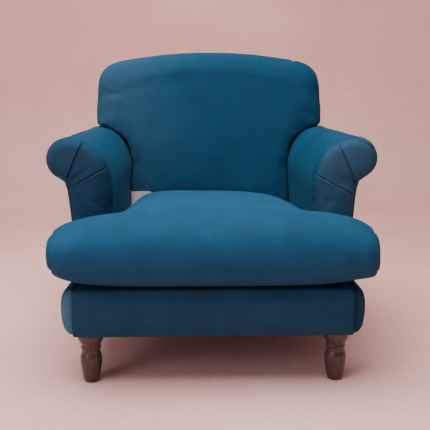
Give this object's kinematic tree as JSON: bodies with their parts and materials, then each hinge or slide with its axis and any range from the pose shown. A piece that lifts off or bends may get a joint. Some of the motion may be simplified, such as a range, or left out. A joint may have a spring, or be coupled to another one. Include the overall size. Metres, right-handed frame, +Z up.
{
  "type": "scroll-arm upholstered armchair",
  "caption": "Velvet armchair with outward scroll arms, pleated arm fronts, a gently arched padded back, a loose T-shaped seat cushion and turned front feet.",
  "frame": {"origin": "on the floor, under the middle of the chair's overall width and depth", "axes": "+Z up, the front of the chair faces -Y, +X is the right arm as seen from the front"},
  "size_m": [0.8802, 0.94, 0.878],
  "materials": {
    "velvet": "matte",
    "platform_lining": "matte",
    "hessian": "matte",
    "foam": "matte",
    "feather_ticking": "matte",
    "wadding": "matte",
    "webbing": "matte",
    "dust_cloth": "matte",
    "frame_timber": "matte",
    "plywood": "matte",
    "stained_foot": "satin",
    "zinc_steel": "satin",
    "spring_steel": "satin",
    "nylon_glide": "matte",
    "zip_tape": "matte",
    "zip_metal": "satin"
  },
  "bodies": {
    "chair_frame": {"arm_hessian": "hessian", "arm_lower_rails": "frame_timber", "back_hessian": "hessian", "back_lower_rail": "frame_timber", "back_top_rail": "frame_timber", "back_webbing": "webbing", "corner_block_screws": "zinc_steel", "corner_blocks": "frame_timber", "dust_cloth": "dust_cloth", "dust_cloth_staples": "zinc_steel", "foot_glides": "nylon_glide", "foot_hanger_bolts": "zinc_steel", "foot_t_nuts": "zinc_steel", "frame_bolts": "zinc_steel", "front_border_cover": "velvet", "front_border_padding": "wadding", "front_edge_roll": "foam", "front_seat_rail": "frame_timber", "inside_back_cover": "velvet", "inside_back_fly": "platform_lining", "inside_back_padding": "foam", "left_arm_front_post": "frame_timber", "left_arm_padding": "foam", "left_arm_scroll_facing": "plywood", "left_arm_top_rail": "frame_timber", "left_back_upright": "frame_timber", "left_front_foot": "stained_foot", "left_inside_arm_cover": "velvet", "left_outside_arm_cover": "velvet", "left_rear_foot": "stained_foot", "left_side_border_cover": "velvet", "left_side_border_padding": "wadding", "left_side_rail": "frame_timber", "outside_back_cover": "velvet", "outside_back_wadding": "wadding", "rear_seat_rail": "frame_timber", "right_arm_front_post": "frame_timber", "right_arm_padding": "foam", "right_arm_scroll_facing": "plywood", "right_arm_top_rail": "frame_timber", "right_back_upright": "frame_timber", "right_front_foot": "stained_foot", "right_inside_arm_cover": "velvet", "right_outside_arm_cover": "velvet", "right_rear_foot": "stained_foot", "right_side_border_cover": "velvet", "right_side_border_padding": "wadding", "right_side_rail": "frame_timber", "seat_deck_pad": "foam", "seat_hessian": "hessian", "seat_platform_cloth": "platform_lining", "seat_springs": "spring_steel", "spring_clips": "zinc_steel", "spring_tie_wires": "spring_steel"},
    "seat_cushion": {"cushion_cover": "velvet", "cushion_feather_jacket": "feather_ticking", "cushion_foam_core": "foam", "cushion_zip": "zip_tape"},
    "zip_slider": {"zip_slider": "zip_metal"},
    "zip_pull": {"zip_pull": "zip_metal"}
  },
  "joints": [
    {"name": "seat_cushion_lift", "type": "slide", "parent": "chair_frame", "child": "seat_cushion", "axis": [0, 0, 1], "range_m": [0, 0.42]},
    {"name": "zip_slide", "type": "slide", "parent": "seat_cushion", "child": "zip_slider", "axis": [1, 0, 0], "range_m": [0, 0.437]},
    {"name": "zip_pull_swing", "type": "hinge", "parent": "zip_slider", "child": "zip_pull", "pos_m": [-0.2185, 0.2442, 0.346], "axis": [1, 0, 0], "range_deg": [0, 20]}
  ]
}
